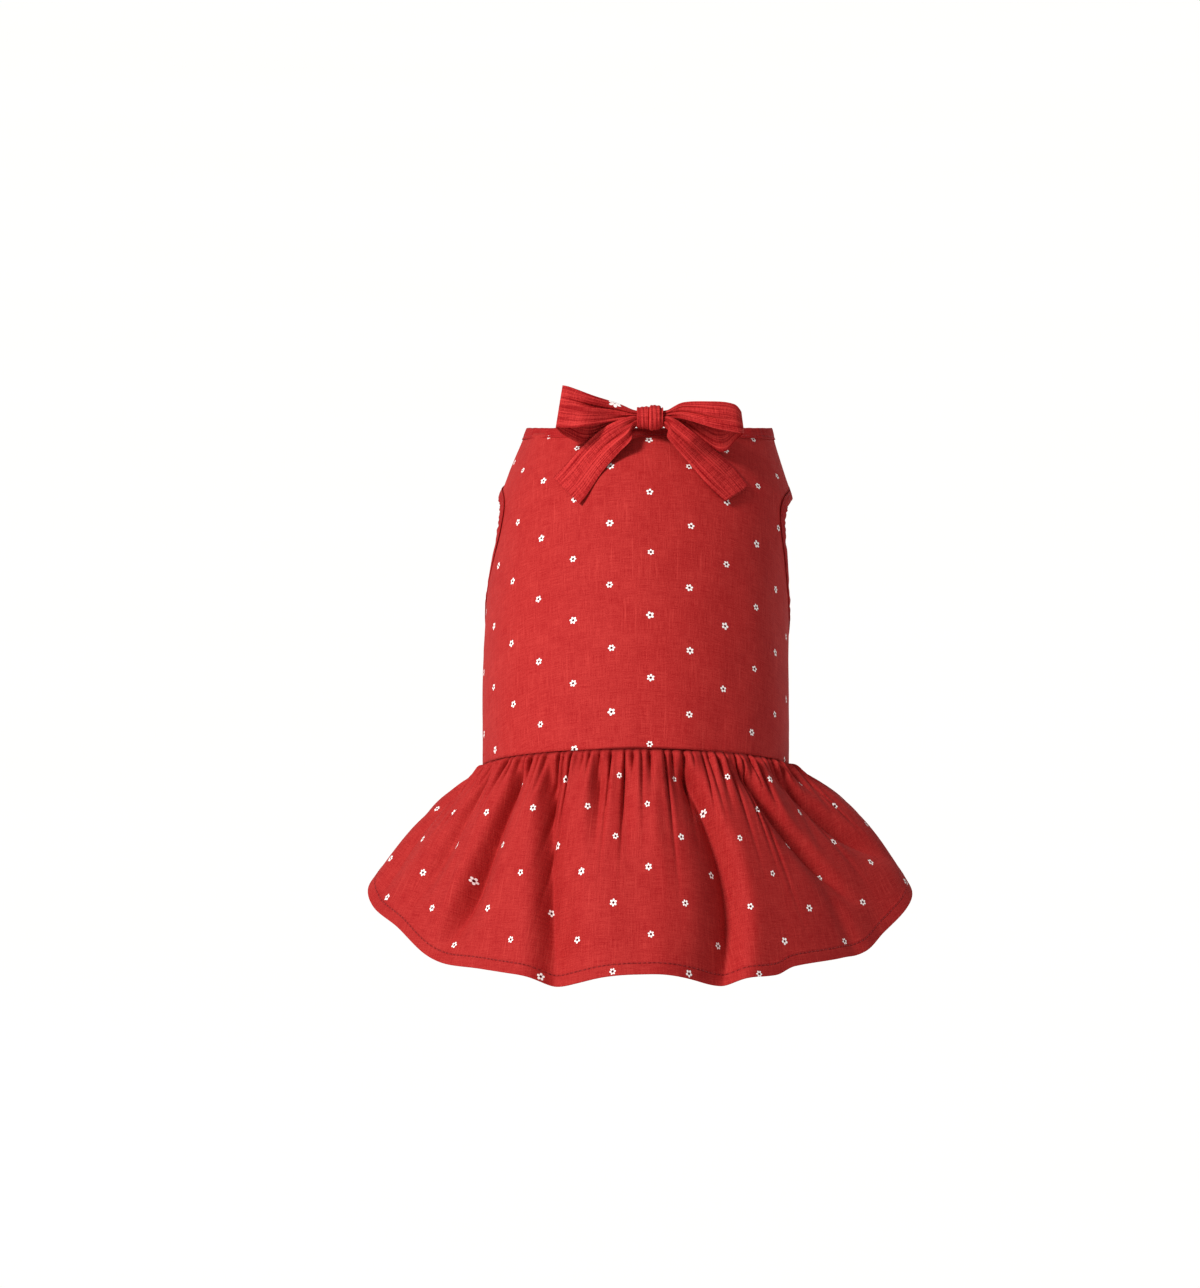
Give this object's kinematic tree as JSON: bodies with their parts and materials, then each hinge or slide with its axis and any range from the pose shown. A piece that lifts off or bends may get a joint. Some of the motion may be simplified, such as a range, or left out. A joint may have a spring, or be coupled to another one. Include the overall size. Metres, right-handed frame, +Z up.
{
  "type": "dog dress",
  "caption": "Sleeveless red pet dress with a fitted bodice, leg openings, a gathered flared skirt over the hips and a ribbon bow at the back of the neck.",
  "frame": {"origin": "centre of the neck opening", "axes": "+Z up along the neck opening, +Y towards the chest, +X to the right seen from behind"},
  "size_m": [0.3988, 0.4216, 0.4095],
  "materials": {
    "printed_cloth": "matt woven red cloth with small white daisies",
    "binding_cloth": "matt woven red cloth, folded edge",
    "bow_cloth": "matt ribbed red cloth"
  },
  "bodies": {
    "root": {"bodice_back": "printed_cloth", "bodice_chest": "printed_cloth", "neck_binding": "binding_cloth", "armhole_binding_left": "binding_cloth", "armhole_binding_right": "binding_cloth", "skirt": "printed_cloth", "bow_knot": "bow_cloth", "bow_loop_left": "bow_cloth", "bow_loop_right": "bow_cloth", "bow_tail_left": "bow_cloth", "bow_tail_right": "bow_cloth"}
  },
  "joints": []
}
